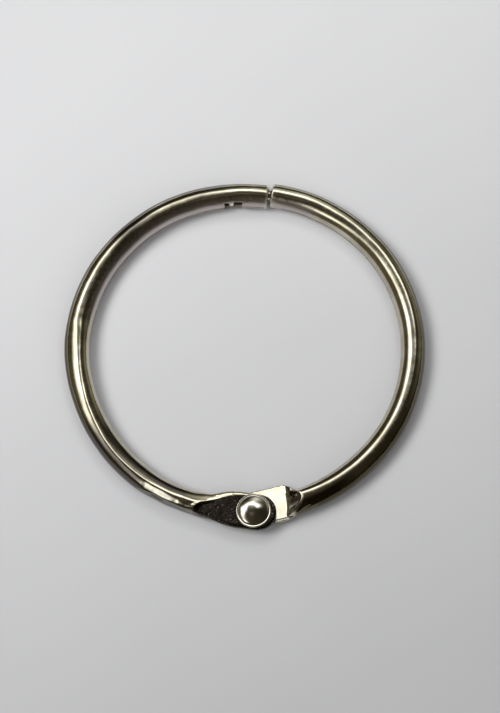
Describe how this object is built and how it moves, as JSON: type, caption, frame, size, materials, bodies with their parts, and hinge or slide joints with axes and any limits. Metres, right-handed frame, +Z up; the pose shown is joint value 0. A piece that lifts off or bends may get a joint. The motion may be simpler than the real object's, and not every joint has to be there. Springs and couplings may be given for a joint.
{
  "type": "binder ring",
  "caption": "Hinged snap-shut loose-leaf ring of bright plated rolled steel tube, riveted at one side and closed by a tongue in a slotted tube end at the other.",
  "frame": {"origin": "centre of the overall plan box, on the table plane the ring lies on", "axes": "+Z up, square to the ring; +Y from the hinge side to the clasp side; +X towards the half that swings"},
  "size_m": [0.0578, 0.0594, 0.0042],
  "materials": {
    "plated_tube": "bright nickel plate, warm, lightly scratched",
    "plated_rivet": "bright nickel plate, tumbled"
  },
  "bodies": {
    "left": {"left_half_ring": "plated_tube", "hinge_rivet": "plated_rivet"},
    "right": {"right_half_ring": "plated_tube"}
  },
  "joints": [
    {"name": "hinge", "type": "hinge", "parent": "left", "child": "right", "pos_m": [0.00129, -0.02666, 0.00195], "axis": [0, 0, -1], "range_deg": [0, 150]}
  ]
}
